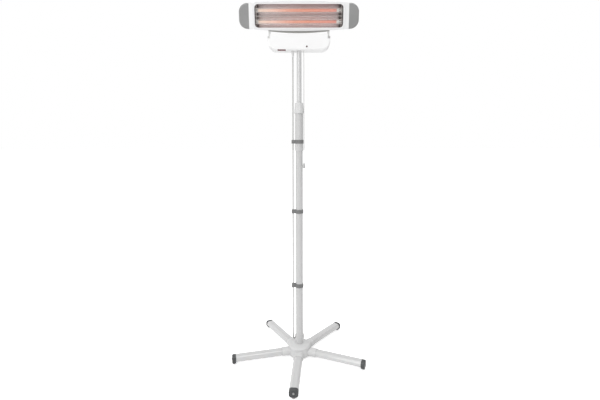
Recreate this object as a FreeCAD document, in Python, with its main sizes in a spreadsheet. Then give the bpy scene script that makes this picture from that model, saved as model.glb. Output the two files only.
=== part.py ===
import FreeCAD, Part
import math
import os
import re

import Sketcher

# Free-standing radiant heater on a telescopic pole with a five-leg star base.
# Millimetres. The origin is on the floor, on the pole's axis. +Z is up, and the
# heating face looks towards -Y, tilted down a little. The head is modelled upright
# and then turned about its tilt pivots.

SIZES = {
    # star base
    "leg_reach": 300, "leg_axis": 22, "leg_width": 38, "leg_height": 24, "leg_corner": 11,
    "leg_wall": 1.5, "leg_start": 31, "front_azimuth": 265.7,
    "cap_length": 16, "cap_width": 37, "cap_bottom": 4, "cap_top": 34, "spigot_length": 18,
    "glide_radius": 7, "button_radius": 4, "button_reach": 5,
    "hub_radius": 50, "hub_bottom": 6, "hub_shoulder": 44, "hub_top": 53, "hub_crown": 30,
    "hub_recess": 40, "cover_thickness": 1.5, "bolt_pocket": 12, "hub_floor": 16,
    "socket_reach": 80, "socket_width": 42, "socket_height": 28, "leg_screw_at": 62,
    "screw_radius": 3, "slip": 0.1,
    # telescopic pole
    "tube_radius": 16, "tube_wall": 1.6, "tube_foot": 20, "tube_top": 1100,
    "mast_radius": 11, "mast_wall": 1.2, "mast_foot": 664, "mast_head": 1396, "run_fit": 0.05,
    "sleeve_radius": 17.8, "sleeve_bottom": 916.6, "thread_radius": 17, "thread_top": 1108,
    "collar_bottom": 1085, "collar_top": 1133, "collar_wide": 21.7, "collar_narrow": 18,
    "collar_bore": 17.3, "bush_length": 40, "mast_bush_length": 36,
    # mains cable and its clips
    "cable_radius": 3, "cable_x": -28, "clip_height": 16, "clip_wall": 2.2, "clip_eye": 6.5,
    "clip_top": 958.3, "clip_middle": 644.6, "clip_bottom": 311.7,
    "hank_bottom_y": 66, "hank_length": 96, "hank_width": 42, "hank_waist": 24, "hank_height": 24,
    "tie_width": 10, "tie_wall": 1.2, "tie_slack": 2.5,
    "cable_end": 212, "plug_start": 222, "plug_end": 256, "plug_width": 26, "plug_height": 24,
    "neck_length": 20, "pin_length": 17, "blade_at": 6.35, "blade_half": 0.75,
    "blade_low": 11, "blade_high": 17.4, "earth_height": 5.4, "earth_radius": 2.4,
    # switch box
    "box_half": 138.5, "box_bottom": 1366.5, "box_seam": 1431, "box_top": 1437.5, "box_depth": 70,
    "box_wall": 2.5, "box_corner": 38, "notch_half": 127.8, "notch_floor": 1416,
    "relief_length": 28, "relief_radius": 6.5,
    "pull_x": 21.5, "pull_y": -22, "pull_radius": 1.1, "grip_top": 863.8, "grip_bottom": 841.5,
    "plunger_radius": 5.12, "plunger_foot": 1387, "spring_foot": 1371.4,
    "lamp_x": 34.5, "lamp_height": 1380, "lamp_radius": 3.1,
    # tilting head, upright
    "tilt_height": 1427, "rest_tilt": 15, "ear_inner": 128.4, "ear_outer": 136.4, "ear_radius": 10,
    "strap_half": 10, "strap_middle": 9.5, "strap_ends": 4.5, "pivot_radius": 3,
    "head_front": -16, "head_depth": 80, "head_half": 221, "head_middle": 1521,
    "head_tall": 64, "head_short": 55, "head_wall": 2, "cap_reach": 265.4, "cap_corner": 38,
    "panel_thickness": 3, "window_half": 195.5, "window_rise": 49.7, "window_corner": 16,
    "bezel_band": 9, "bezel_thickness": 2,
    "quartz_radius": 6.5, "quartz_wall": 1, "quartz_rise": 25, "quartz_y": 12,
    "quartz_left": -187, "quartz_right": 174,
    "trough_radius": 24.6, "trough_sheet": 0.8, "trough_half": 192,
    "holder_radius": 9, "holder_left": -181, "holder_right": 168, "holder_end": 180,
    "terminal_radius": 5, "coil_radius": 4, "coil_left": -178, "coil_right": 165,
    "wire_radius": 1.1, "wire_step": 16, "guard_half": 194.4, "guard_y": -10.5,
}

doc = FreeCAD.newDocument("radiant_heater")
sheet = doc.addObject("Spreadsheet::Sheet", "Sizes")
for row, (alias, number) in enumerate(SIZES.items(), 1):
    sheet.set(f"A{row}", alias)
    sheet.set(f"B{row}", str(number))
    sheet.setAlias(f"B{row}", alias)
doc.recompute()

X = FreeCAD.Vector(1, 0, 0)
Y = FreeCAD.Vector(0, 1, 0)
Z = FreeCAD.Vector(0, 0, 1)
ALONG = {
    "x": FreeCAD.Rotation(Y, 90),
    "y": FreeCAD.Rotation(X, -90),
    "z": FreeCAD.Rotation(),
}
pieces = []


def qualified(formula):
    """The formula with each size named as a cell of the sheet."""
    return re.sub(
        r"[a-z_]+", lambda word: f"Sizes.{word[0]}" if word[0] in SIZES else word[0], formula
    )


def value(formula):
    """The number that a formula of the sheet's sizes has."""
    return float(doc.Sizes.evalExpression(formula))


def bind(thing, **formulas):
    for name, formula in formulas.items():
        thing.setExpression(name, qualified(formula))
    return thing


def piece(label, solid, placement=None):
    """Registers a finished sub-part under the name of its node."""
    solid.Label = label
    if placement is not None:
        solid.Placement = placement
    pieces.append(solid)
    return solid


# --- Part primitives and booleans, bound to the sheet ---


def block(name, x, y, z):
    """A box between two formulas along each axis."""
    solid = doc.addObject("Part::Box", name)
    for side, axis, (low, high) in zip(("Length", "Width", "Height"), "xyz", (x, y, z)):
        solid.setExpression(side, qualified(f"({high}) - ({low})"))
        solid.setExpression(f"Placement.Base.{axis}", qualified(low))
    return solid


def rod(name, axis, centre, span, radius):
    """A cylinder along an axis; centre has the two other coordinates, in X, Y, Z order."""
    solid = doc.addObject("Part::Cylinder", name)
    solid.Placement = FreeCAD.Placement(FreeCAD.Vector(), ALONG[axis])
    bind(solid, Radius=radius, Height=f"({span[1]}) - ({span[0]})")
    others = [letter for letter in "xyz" if letter != axis]
    for letter, formula in [(axis, span[0]), *zip(others, centre)]:
        solid.setExpression(f"Placement.Base.{letter}", qualified(formula))
    return solid


def fused(name, *solids):
    union = doc.addObject("Part::MultiFuse", name)
    union.Shapes = list(solids)
    return union


def common(name, *solids):
    shared = doc.addObject("Part::MultiCommon", name)
    shared.Shapes = list(solids)
    return shared


def cut(name, base, *tools):
    rest = doc.addObject("Part::Cut", name)
    rest.Base = base
    rest.Tool = tools[0] if len(tools) == 1 else fused(f"{name}_tools", *tools)
    return rest


def grouped(name, *solids):
    """Separate solids that share one node."""
    group = doc.addObject("Part::Compound", name)
    group.Links = list(solids)
    return group


def filleted(name, base, radius, chosen):
    """The base with those edges rounded for which chosen(edge) is true."""
    doc.recompute()
    size = value(radius)
    rounding = doc.addObject("Part::Fillet", name)
    rounding.Base = base
    rounding.Edges = [
        (number, size, size)
        for number, edge in enumerate(base.Shape.Edges, 1)
        if chosen(edge)
    ]
    return rounding


def runs_along(edge, direction):
    ends = [vertex.Point for vertex in edge.Vertexes]
    if len(ends) < 2:
        return False
    run = ends[1] - ends[0]
    return run.Length > 0 and abs(run.normalize().dot(direction)) > 0.98


# --- PartDesign bodies, bound to the sheet ---


def new_body(label):
    body = doc.addObject("PartDesign::Body", label)
    body.Label = label
    return body


def origin_part(body, role):
    return next(item for item in body.Origin.OriginFeatures if item.Role == role)


def sketch_on(body, role, name, distance=None):
    sketch = body.newObject("Sketcher::SketchObject", name)
    sketch.AttachmentSupport = (origin_part(body, role), [""])
    sketch.MapMode = "FlatFace"
    if distance is not None:
        sketch.setExpression("AttachmentOffset.Base.z", qualified(distance))
    return sketch


def place_point(sketch, geometry, end, across, up):
    """Ties one end of a sketch's line to the formulas of its two coordinates."""
    for kind, formula, axis in (("DistanceX", across, -2), ("DistanceY", up, -1)):
        if formula == "0":
            sketch.addConstraint(Sketcher.Constraint("PointOnObject", geometry, end, axis))
            continue
        number = sketch.addConstraint(
            Sketcher.Constraint(kind, -1, 1, geometry, end, value(formula))
        )
        sketch.setExpression(f"Constraints[{number}]", qualified(formula))


def polygon(sketch, points):
    """A closed outline of straight lines through points given as pairs of formulas."""
    corners = [FreeCAD.Vector(value(a), value(b), 0) for a, b in points]
    first = sketch.GeometryCount
    count = len(corners)
    for i in range(count):
        sketch.addGeometry(Part.LineSegment(corners[i], corners[(i + 1) % count]), False)
    for i in range(count):
        following = first + (i + 1) % count
        sketch.addConstraint(Sketcher.Constraint("Coincident", first + i, 2, following, 1))
    for i, (across, up) in enumerate(points):
        place_point(sketch, first + i, 1, across, up)


def rounded_outline(sketch, half_width, low, high, radius):
    """A rectangle about the sketch's vertical axis with round corners."""
    w, z0, z1, r = (value(f) for f in (half_width, low, high, radius))
    first = sketch.GeometryCount
    quarter = math.pi / 2
    sides = [
        ((-w + r, z0), (w - r, z0)),
        ((w, z0 + r), (w, z1 - r)),
        ((w - r, z1), (-w + r, z1)),
        ((-w, z1 - r), (-w, z0 + r)),
    ]
    centres = [(w - r, z0 + r), (w - r, z1 - r), (-w + r, z1 - r), (-w + r, z0 + r)]
    for a, b in sides:
        sketch.addGeometry(
            Part.LineSegment(FreeCAD.Vector(*a, 0), FreeCAD.Vector(*b, 0)), False
        )
    for i, centre in enumerate(centres):
        circle = Part.Circle(FreeCAD.Vector(*centre, 0), Z, r)
        sketch.addGeometry(Part.ArcOfCircle(circle, (i - 1) * quarter, i * quarter), False)
    for i in range(4):
        arc = first + 4 + i
        sketch.addConstraint(Sketcher.Constraint("Tangent", first + i, 2, arc, 1))
        sketch.addConstraint(Sketcher.Constraint("Tangent", arc, 2, first + (i + 1) % 4, 1))
    for i in range(1, 4):
        sketch.addConstraint(Sketcher.Constraint("Equal", first + 4, first + 4 + i))
    sketch.addConstraint(Sketcher.Constraint("Vertical", first + 1))
    sketch.addConstraint(Sketcher.Constraint("Horizontal", first))
    number = sketch.addConstraint(Sketcher.Constraint("Radius", first + 4, r))
    sketch.setExpression(f"Constraints[{number}]", qualified(radius))
    for kind, geometry, formula, current in (
        ("DistanceX", first + 1, half_width, w),
        ("DistanceX", first + 3, f"-({half_width})", -w),
        ("DistanceY", first, low, z0),
        ("DistanceY", first + 2, high, z1),
    ):
        number = sketch.addConstraint(Sketcher.Constraint(kind, -1, 1, geometry, 1, current))
        sketch.setExpression(f"Constraints[{number}]", qualified(formula))


def pad(body, sketch, length):
    feature = body.newObject("PartDesign::Pad", f"{sketch.Name}_pad")
    feature.Profile = sketch
    feature.setExpression("Length", qualified(length))
    return feature


def turned(label, points, placement=None):
    """A body of revolution about Z from an outline of (radius, height) formulas."""
    body = new_body(label)
    sketch = sketch_on(body, "XZ_Plane", f"{label}_outline")
    polygon(sketch, points)
    feature = body.newObject("PartDesign::Revolution", f"{label}_turned")
    feature.Profile = sketch
    feature.ReferenceAxis = (sketch, ["V_Axis"])
    feature.Angle = 360
    return piece(label, body, placement)


def ring(label, inner, outer, low, high, placement=None):
    """A plain tube or, with an inner radius of 0, a plain disc."""
    points = [(inner, low), (outer, low), (outer, high), (inner, high)]
    return turned(label, points, placement)


def at(x, y):
    return FreeCAD.Placement(FreeCAD.Vector(value(x), value(y), 0), FreeCAD.Rotation())


# --- star base ---

LEG_NAMES = ("front", "right", "back_right", "back_left", "left")
LEG_STEP = 360 / len(LEG_NAMES)


def leg_placement(number):
    """The turn about the pole that puts a piece made along +X on its leg."""
    azimuth = value("front_azimuth") + number * LEG_STEP
    return FreeCAD.Placement(FreeCAD.Vector(), FreeCAD.Rotation(Z, azimuth))


def leg_tube(number, name):
    body = new_body(f"leg_tube_{name}")
    sketch = sketch_on(body, "YZ_Plane", f"leg_{name}_section", "leg_start")
    rounded_outline(
        sketch, "leg_width / 2", "leg_axis - leg_height / 2", "leg_axis + leg_height / 2",
        "leg_corner",
    )
    rounded_outline(
        sketch, "leg_width / 2 - leg_wall", "leg_axis - leg_height / 2 + leg_wall",
        "leg_axis + leg_height / 2 - leg_wall", "leg_corner - leg_wall",
    )
    pad(body, sketch, "leg_reach - cap_length - leg_start")
    doc.recompute()
    seat = sketch_on(body, "XY_Plane", f"leg_{name}_hole_place")
    circle = seat.addGeometry(
        Part.Circle(FreeCAD.Vector(value("leg_screw_at"), 0, 0), Z, value("screw_radius")), False
    )
    seat.addConstraint(Sketcher.Constraint("PointOnObject", circle, 3, -1))
    number_at = seat.addConstraint(
        Sketcher.Constraint("DistanceX", -1, 1, circle, 3, value("leg_screw_at"))
    )
    seat.setExpression(f"Constraints[{number_at}]", qualified("leg_screw_at"))
    radius_at = seat.addConstraint(
        Sketcher.Constraint("Radius", circle, value("screw_radius"))
    )
    seat.setExpression(f"Constraints[{radius_at}]", qualified("screw_radius"))
    hole = body.newObject("PartDesign::Pocket", f"leg_{name}_hole")
    hole.Profile = seat
    hole.setExpression("Length", qualified("leg_axis"))
    hole.Reversed = True
    return piece(f"leg_tube_{name}", body, leg_placement(number))


def foot_cap(number, name):
    """An end cap: a block that stands lower than the tube, with a spigot inside it."""
    body = new_body(f"foot_cap_{name}")
    outline = sketch_on(body, "YZ_Plane", f"cap_{name}_outline", "leg_reach - cap_length")
    rounded_outline(outline, "cap_width / 2", "cap_bottom", "cap_top", "leg_corner")
    pad(body, outline, "cap_length")
    doc.recompute()
    face_x = value("leg_reach")
    edges = [
        f"Edge{n}" for n, edge in enumerate(body.Tip.Shape.Edges, 1)
        if all(abs(vertex.Point.x - face_x) < 0.01 for vertex in edge.Vertexes)
    ]
    square = body.Tip
    rounding = body.newObject("PartDesign::Fillet", f"cap_{name}_rounding")
    rounding.Base = (square, edges)
    rounding.Radius = 4
    body.Tip = rounding
    spigot = sketch_on(
        body, "YZ_Plane", f"cap_{name}_spigot", "leg_reach - cap_length - spigot_length"
    )
    rounded_outline(
        spigot, "leg_width / 2 - leg_wall - slip",
        "leg_axis - leg_height / 2 + leg_wall + slip",
        "leg_axis + leg_height / 2 - leg_wall - slip", "leg_corner - leg_wall - slip",
    )
    pad(body, spigot, "spigot_length")
    return piece(f"foot_cap_{name}", body, leg_placement(number))


def hub():
    """The moulded hub: a turned body with a socket for each leg."""
    body = new_body("hub_body")
    outline = sketch_on(body, "XZ_Plane", "hub_outline")
    polygon(outline, [
        ("5.2", "hub_floor"), ("bolt_pocket", "hub_floor"),
        ("bolt_pocket", "hub_bottom + cover_thickness"),
        ("hub_recess", "hub_bottom + cover_thickness"), ("hub_recess", "hub_bottom"),
        ("hub_radius - 2", "hub_bottom"), ("hub_radius", "hub_bottom + 3"),
        ("hub_radius", "hub_shoulder"), ("hub_radius - 5", "hub_shoulder + 4.5"),
        ("hub_crown", "hub_top - 1"), ("hub_crown - 5", "hub_top"),
        ("tube_radius + slip", "hub_top"), ("tube_radius + slip", "tube_foot"),
        ("5.2", "tube_foot"),
    ])
    turning = body.newObject("PartDesign::Revolution", "hub_turned")
    turning.Profile = outline
    turning.ReferenceAxis = (outline, ["V_Axis"])
    turning.Angle = 360
    doc.recompute()
    sleeve = sketch_on(body, "YZ_Plane", "hub_socket_outline", "hub_radius - 12")
    rounded_outline(
        sleeve, "socket_width / 2", "leg_axis - socket_height / 2",
        "leg_axis + socket_height / 2", "leg_corner + 2",
    )
    sleeve_pad = pad(body, sleeve, "socket_reach - hub_radius + 12")
    bore = sketch_on(body, "YZ_Plane", "hub_bore_outline", "socket_reach")
    rounded_outline(
        bore, "leg_width / 2 + slip", "leg_axis - leg_height / 2 - slip",
        "leg_axis + leg_height / 2 + slip", "leg_corner + slip",
    )
    for feature, kind in ((sleeve_pad, "socket"), (None, "bore")):
        if feature is None:
            feature = body.newObject("PartDesign::Pocket", "hub_bore")
            feature.Profile = bore
            feature.setExpression("Length", qualified("socket_reach - leg_start + slip"))
        doc.recompute()
        pattern = body.newObject("PartDesign::PolarPattern", f"hub_{kind}_pattern")
        pattern.Originals = [feature]
        pattern.Axis = (origin_part(body, "Z_Axis"), [""])
        pattern.Angle = 360
        pattern.Occurrences = len(LEG_NAMES)
        body.Tip = pattern
        doc.recompute()
    seat = sketch_on(body, "XY_Plane", "hub_screw_places")
    for i in range(len(LEG_NAMES)):
        spot = FreeCAD.Rotation(Z, i * LEG_STEP).multVec(X * value("leg_screw_at"))
        seat.addGeometry(Part.Circle(spot, Z, value("screw_radius + slip")), False)
    screw_holes = body.newObject("PartDesign::Pocket", "hub_screw_holes")
    screw_holes.Profile = seat
    screw_holes.setExpression("Length", qualified("leg_axis"))
    screw_holes.Reversed = True
    body.Tip = screw_holes
    turn = FreeCAD.Rotation(Z, value("front_azimuth"))
    return piece("hub_body", body, FreeCAD.Placement(FreeCAD.Vector(), turn))


def glide(number):
    spot = ("leg_reach - cap_length / 2", "0")
    return rod(f"glide_{number}", "z", spot, ("0", "cap_bottom"), "glide_radius")


def button(number):
    """The domed end of the screw through a cap's face."""
    shank = rod(
        f"button_{number}_shank", "x", ("0", "leg_axis - 1"),
        ("leg_reach", "leg_reach + button_reach - 2"), "button_radius",
    )
    return filleted(
        f"button_{number}", shank, "1.2",
        lambda edge: abs(edge.CenterOfMass.x - value("leg_reach + button_reach - 2")) < 0.01,
    )


def leg_screw(number):
    name = f"leg_screw_{number}"
    spot = ("leg_screw_at", "0")
    low = "leg_axis - socket_height / 2"
    head = rod(f"{name}_head", "z", spot, (f"{low} - 3.4", low), "5.5")
    shank = rod(f"{name}_shank", "z", spot, (low, "leg_axis - 3"), "screw_radius")
    return fused(name, head, shank)


def turned_to_leg(solid, name, placement):
    """A holder that turns a solid to its leg while the solid's own place stays bound."""
    holder = doc.addObject("Part::Compound", name)
    holder.Links = [solid]
    holder.Placement = placement
    return holder


def star_base():
    hub()
    ring(
        "hub_cover", "0", "hub_recess - slip", "hub_bottom", "hub_bottom + cover_thickness"
    )
    turned("hub_bolt", [
        ("0", "hub_floor - 6.4"), ("8.5", "hub_floor - 6.4"), ("8.5", "hub_floor"),
        ("5", "hub_floor"), ("5", "tube_foot + 24"), ("0", "tube_foot + 24"),
    ])
    ring(
        "pole_insert", "4.9", "tube_radius - tube_wall", "tube_foot", "tube_foot + 30"
    )
    for number, name in enumerate(LEG_NAMES):
        leg_tube(number, name)
        foot_cap(number, name)
    for label, make in (("foot_glides", glide), ("cap_buttons", button), ("leg_screws", leg_screw)):
        holders = [
            turned_to_leg(make(n), f"{label}_{n}_turned", leg_placement(n))
            for n in range(len(LEG_NAMES))
        ]
        piece(label, grouped(label, *holders))


# --- pole ---


def cable_clip(name, height, inner, wall):
    """A ring round the pole with an eye for the cable."""
    low, high = f"{height} - clip_height / 2", f"{height} + clip_height / 2"
    hoop = rod(f"{name}_hoop", "z", ("0", "0"), (low, high), f"{inner} + {wall}")
    neck = block(f"{name}_neck", ("cable_x", "0"), ("-clip_eye", "clip_eye"), (low, high))
    eye = rod(f"{name}_eye", "z", ("cable_x", "0"), (low, high), "clip_eye")
    bore = rod(f"{name}_bore", "z", ("0", "0"), (low, high), inner)
    hole = rod(f"{name}_hole", "z", ("cable_x", "0"), (low, high), "cable_radius + slip")
    return cut(name, fused(f"{name}_solid", hoop, neck, eye), bore, hole)


def pole():
    ring("lower_tube", "tube_radius - tube_wall", "tube_radius", "tube_foot", "tube_top")
    turned("clamp_sleeve", [
        ("tube_radius + slip", "sleeve_bottom"), ("sleeve_radius", "sleeve_bottom"),
        ("sleeve_radius", "collar_bottom - 1"), ("thread_radius", "collar_bottom - 1"),
        ("thread_radius", "thread_top"), ("tube_radius + slip", "thread_top"),
    ])
    turned("collet", [
        ("mast_radius + run_fit", "tube_top + 0.5"), ("tube_radius - 0.2", "tube_top + 0.5"),
        ("tube_radius - 0.2", "thread_top"), ("mast_radius + 1.5", "collar_top - 5"),
        ("mast_radius + run_fit", "collar_top - 5"),
    ])
    ring(
        "pole_bush", "mast_radius + run_fit", "tube_radius - tube_wall",
        "tube_top - bush_length", "tube_top",
    )
    turned("clamp_collar", [
        ("collar_bore", "collar_bottom"), ("collar_wide", "collar_bottom"),
        ("collar_wide", "collar_bottom + 7"), ("collar_narrow + 0.6", "collar_top - 12"),
        ("collar_narrow", "collar_top - 1.5"), ("collar_narrow - 1.5", "collar_top"),
        ("mast_radius + 0.5", "collar_top"), ("mast_radius + 0.5", "collar_top - 3.5"),
        ("mast_radius + 2", "collar_top - 4.6"), ("collar_bore", "thread_top + 0.5"),
    ])
    clips = [
        cable_clip("clip_a", "clip_top", "sleeve_radius + slip", "1.8"),
        cable_clip("clip_b", "clip_middle", "tube_radius + slip", "clip_wall"),
        cable_clip("clip_c", "clip_bottom", "tube_radius + slip", "clip_wall"),
    ]
    piece("cable_clips", grouped("cable_clips", *clips))
    ring("inner_tube", "mast_radius - mast_wall", "mast_radius", "mast_foot", "mast_head")
    ring(
        "inner_tube_bush", "mast_radius", "tube_radius - tube_wall - run_fit",
        "mast_foot", "mast_foot + mast_bush_length",
    )


# --- switch box ---


def box_solid(name, inset, top):
    """The box's outer form, or its cavity with an inset: round below, notched above."""
    lower = block(
        f"{name}_lower", (f"{inset} - box_half", f"box_half - {inset}"),
        (f"{inset} - box_depth / 2", f"box_depth / 2 - {inset}"),
        (f"box_bottom + {inset}", f"notch_floor - {inset}"),
    )
    low = value(f"box_bottom + {inset}")
    rounded = filleted(
        f"{name}_round", lower, f"box_corner - {inset}",
        lambda edge: runs_along(edge, Y) and edge.CenterOfMass.z < low + 1,
    )
    upper = block(
        f"{name}_upper", (f"{inset} - notch_half", f"notch_half - {inset}"),
        (f"{inset} - box_depth / 2", f"box_depth / 2 - {inset}"), ("notch_floor - 20", top),
    )
    return fused(name, rounded, upper)


def switch_box():
    outer = box_solid("box_outer", "0", "box_seam")
    low = value("box_bottom")
    eased = filleted(
        "box_eased", outer, "5",
        lambda edge: edge.BoundBox.ZMax < low + 39 and edge.BoundBox.YLength < 0.1
        and edge.BoundBox.XLength > 1,
    )
    cavity = box_solid("box_cavity", "box_wall", "box_seam + 1")
    floor = ("box_bottom - 1", "box_bottom + 10")
    face = ("-box_depth / 2 - 1", "-box_depth / 2 + 8")
    width = ("-box_half", "box_half")
    lamp = ("lamp_x", "lamp_height")
    pivot = ("0", "tilt_height")
    holes = [
        rod("box_mast_hole", "z", ("0", "0"), floor, "mast_radius + 0.4"),
        rod("box_cable_hole", "z", ("cable_x", "0"), floor, "6"),
        rod("box_cord_hole", "z", ("pull_x", "pull_y"), floor, "3.6"),
        rod("box_lamp_hole", "y", lamp, face, "lamp_radius + slip"),
        rod("box_pivot_hole", "x", pivot, width, "pivot_radius + 0.3"),
    ]
    piece("switch_box_body", cut("switch_box_body", eased, cavity, *holes))

    lid = block(
        "lid_block", ("-notch_half", "notch_half"), ("-box_depth / 2", "box_depth / 2"),
        ("box_seam", "box_top"),
    )
    top = value("box_top")
    lid_eased = filleted("lid_eased", lid, "2.5", lambda edge: edge.CenterOfMass.z > top - 0.01)
    lid_hollow = block(
        "lid_hollow", ("box_wall - notch_half", "notch_half - box_wall"),
        ("box_wall - box_depth / 2", "box_depth / 2 - box_wall"),
        ("box_seam - 1", "box_top - box_wall"),
    )
    piece("switch_box_lid", cut("switch_box_lid", lid_eased, lid_hollow))
    screws = [
        rod(f"lid_screw_{n}", "z", (x, y), ("box_top", "box_top + 1.2"), "3.4")
        for n, (x, y) in enumerate((
            ("notch_half - 12", "box_depth / 2 - 9"), ("12 - notch_half", "box_depth / 2 - 9"),
            ("notch_half - 12", "9 - box_depth / 2"), ("12 - notch_half", "9 - box_depth / 2"),
        ))
    ]
    piece("lid_screws", grouped("lid_screws", *screws))

    ring("mast_socket", "mast_radius", "15", "box_bottom + box_wall + 0.2", "mast_head")
    inner, outer = "notch_half - box_wall - 2.1", "notch_half - box_wall - 0.1"
    depth = ("-10", "10")
    web = block("bracket_web", (f"-({outer})", outer), depth, ("mast_head", "mast_head + 2"))
    ears = [
        block(f"bracket_ear_{side}", span, depth, ("mast_head", "box_top - 3"))
        for side, span in (("right", (inner, outer)), ("left", (f"-({outer})", f"-({inner})")))
    ]
    bracket_bore = rod("bracket_bore", "x", pivot, width, "pivot_radius + slip")
    bracket = cut("support_bracket", fused("bracket_solid", web, *ears), bracket_bore)
    piece("support_bracket", bracket)

    screws = []
    for side, sign in (("right", ""), ("left", "-")):
        spans = [
            ("notch_half - box_wall - 6", "ear_outer + 0.3", "pivot_radius"),
            ("ear_outer + 0.3", "ear_outer + 4.3", "8"),
        ]
        parts = []
        for number, (near, far, radius) in enumerate(spans):
            low, high = (near, far) if sign == "" else (f"-({far})", f"-({near})")
            parts.append(rod(f"pivot_{side}_{number}", "x", pivot, (low, high), radius))
        screws.append(fused(f"pivot_{side}", *parts))
    piece("tilt_screws", grouped("tilt_screws", *screws))

    front = "-box_depth / 2"
    lens = rod("lens_stem", "y", lamp, (f"{front} - 1", f"{front} + 5"), "lamp_radius")
    flange = rod("lens_flange", "y", lamp, (f"{front} - 1", front), "lamp_radius + 0.7")
    piece("indicator_lens", fused("indicator_lens", lens, flange))
    terminal = block(
        "terminal_solid", ("-84", "-50"), ("-9", "9"), ("box_bottom + box_wall", "box_bottom + 19")
    )
    ways = [
        rod(f"terminal_way_{n}", "y", (x, "box_bottom + 11"), ("-10", "10"), "2.2")
        for n, x in enumerate(("-78", "-67", "-56"))
    ]
    piece("terminal_block", cut("terminal_block", terminal, *ways))


def pull_switch():
    spot = ("pull_x", "pull_y")
    shell = block(
        "switch_shell", ("pull_x - 9.5", "pull_x + 9.5"), ("pull_y - 8", "pull_y + 8"),
        ("box_bottom + box_wall + 0.2", "plunger_foot + 10"),
    )
    bore = rod(
        "switch_bore", "z", spot, ("spring_foot - 0.1", "plunger_foot + 7"), "plunger_radius + 0.08"
    )
    way = rod("switch_way", "z", spot, ("box_bottom", "spring_foot"), "pull_radius + 0.4")
    piece("switch_body", cut("switch_body", shell, bore, way))
    place = at(*spot)
    ring("switch_plunger", "0", "plunger_radius", "plunger_foot", "plunger_foot + 5", place)
    ring(
        "switch_spring", "pull_radius + 1.2", "plunger_radius - 0.6",
        "spring_foot", "plunger_foot", place,
    )
    turned("cord_bush", [
        ("pull_radius + 0.4", "box_bottom - 2"), ("3.5", "box_bottom - 2"), ("5", "box_bottom - 0.8"),
        ("5", "box_bottom"), ("3.55", "box_bottom"), ("3.55", "box_bottom + box_wall"),
        ("pull_radius + 0.4", "box_bottom + box_wall"),
    ], place)
    ring("pull_cord", "0", "pull_radius", "grip_top", "plunger_foot", place)
    turned("pull_grip", [
        ("0", "grip_bottom"), ("5", "grip_bottom"), ("6", "grip_bottom + 1.5"),
        ("6", "grip_bottom + 7"), ("4.4", "grip_top - 6"), ("2.6", "grip_top"), ("0", "grip_top"),
    ], place)


# --- mains cable ---


def eased_route(points):
    """Straight runs joined by tangent arcs as large as the runs allow, and the arcs' radii."""
    edges = []
    radii = []
    start = points[0]
    for before, corner, after in zip(points, points[1:], points[2:]):
        come = corner - before
        go = after - corner
        setback = 0.45 * min(come.Length, go.Length)
        radius = setback / math.tan(come.getAngle(go) / 2)
        first = corner - FreeCAD.Vector(come).normalize() * setback
        last = corner + FreeCAD.Vector(go).normalize() * setback
        inward = (first - corner) + (last - corner)
        reach = math.hypot(radius, setback)
        middle = corner + inward.normalize() * (reach - radius)
        edges.append(Part.LineSegment(start, first).toShape())
        edges.append(Part.Arc(first, middle, last).toShape())
        radii.append(radius)
        start = last
    edges.append(Part.LineSegment(start, points[-1]).toShape())
    return Part.Wire(edges), radii


def cable_tube(label, points):
    """A round tube of the cable's diameter along a route."""
    wire, radii = eased_route([FreeCAD.Vector(*point) for point in points])
    radius = value("cable_radius")
    run = wire.OrderedEdges[0]
    start = run.FirstParameter
    section = Part.Circle(run.valueAt(start), run.tangentAt(start), radius).toShape()
    tube = wire.makePipeShell([Part.Wire([section])], True, False, 2)
    expected = math.pi * radius**2 * wire.Length
    print(
        f"{label}: length {wire.Length:.1f} mm, radii {[round(r) for r in radii]},"
        f" volume {tube.Volume / expected:.4f} of section times length"
    )
    feature = doc.addObject("Part::Feature", label)
    feature.Shape = tube
    return piece(label, feature)


def mains_cable():
    relief_foot = "box_bottom - relief_length"
    spot = at("cable_x", "0")
    turned("cable_relief", [
        ("cable_radius + 0.05", relief_foot), ("cable_radius + 1.2", relief_foot),
        ("relief_radius", "box_bottom - 2"), ("8", "box_bottom - 2"), ("8", "box_bottom"),
        ("5.9", "box_bottom"), ("5.9", "box_bottom + box_wall"),
        ("cable_radius + 0.05", "box_bottom + box_wall"),
    ], spot)
    ring(
        "mains_cable_upper", "0", "cable_radius",
        "clip_top + clip_height / 2", "box_bottom + box_wall", spot,
    )
    cable_tube("mains_cable_lower", LOWER_ROUTE)
    cable_tube("mains_cable_tail", TAIL_ROUTE)


# The cable hangs straight through its clips, leans back behind the rear left leg and
# comes down to the floor, where it joins the outer run of its hank.
LOWER_ROUTE = (
    (-28, 0, 966.3), (-28, 0, 273), (-28.6, 12.5, 216), (-29.4, 38, 150), (-29.9, 69, 86),
    (-29.9, 95, 34), (-28.6, 120, 6.5), (-20, 150, 3.0),
)
# It leaves the top of the hank and runs into the plug, which lies behind it.
TAIL_ROUTE = ((-12, 152, 24.5), (-9, 168, 24), (-4, 184, 19), (-0.5, 199, 14), (0, 212, 12))


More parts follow.
